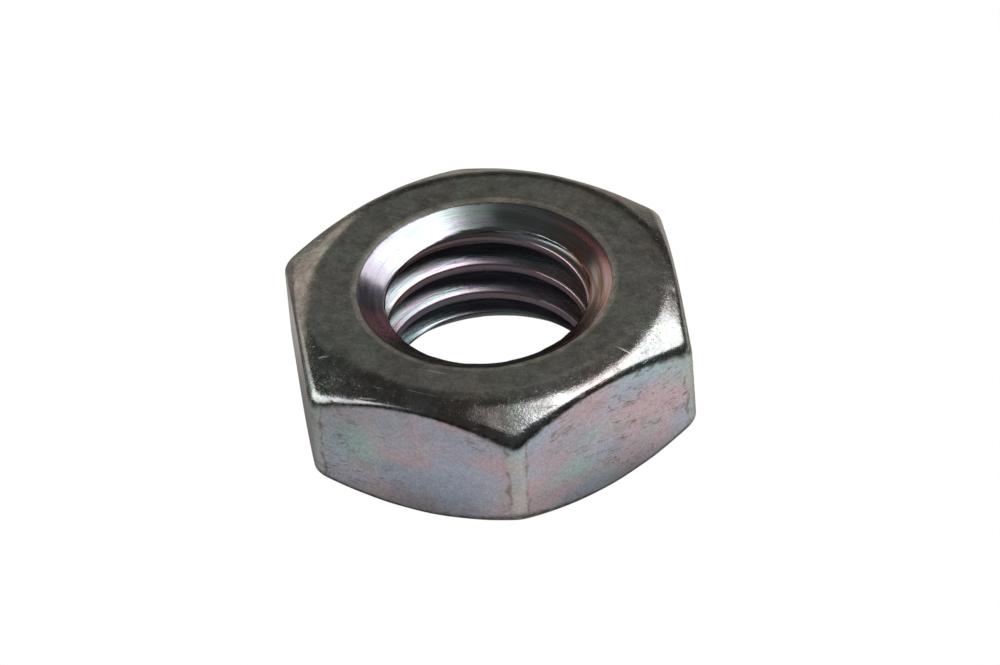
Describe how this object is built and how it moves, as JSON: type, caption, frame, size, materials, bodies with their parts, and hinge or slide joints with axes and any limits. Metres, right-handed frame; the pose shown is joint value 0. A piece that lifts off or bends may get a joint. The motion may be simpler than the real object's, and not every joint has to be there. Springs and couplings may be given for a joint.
{
  "type": "hex nut",
  "caption": "Thin hexagon nut with a countersunk threaded bore and chamfered bearing faces; clamps or locks on a threaded rod or bolt.",
  "frame": {"origin": "centre of the lower bearing face, on the bore axis", "axes": "+Z along the bore axis, out of the upper bearing face; +X towards a corner of the hexagon; +Y square to a wrench flat"},
  "size_m": [0.0148, 0.013, 0.0052],
  "materials": {
    "zinc_plated_steel": "bright zinc plating with a thin blue passivation film, lightly scratched"
  },
  "bodies": {
    "root": {"hex_nut": "zinc_plated_steel"}
  },
  "joints": []
}
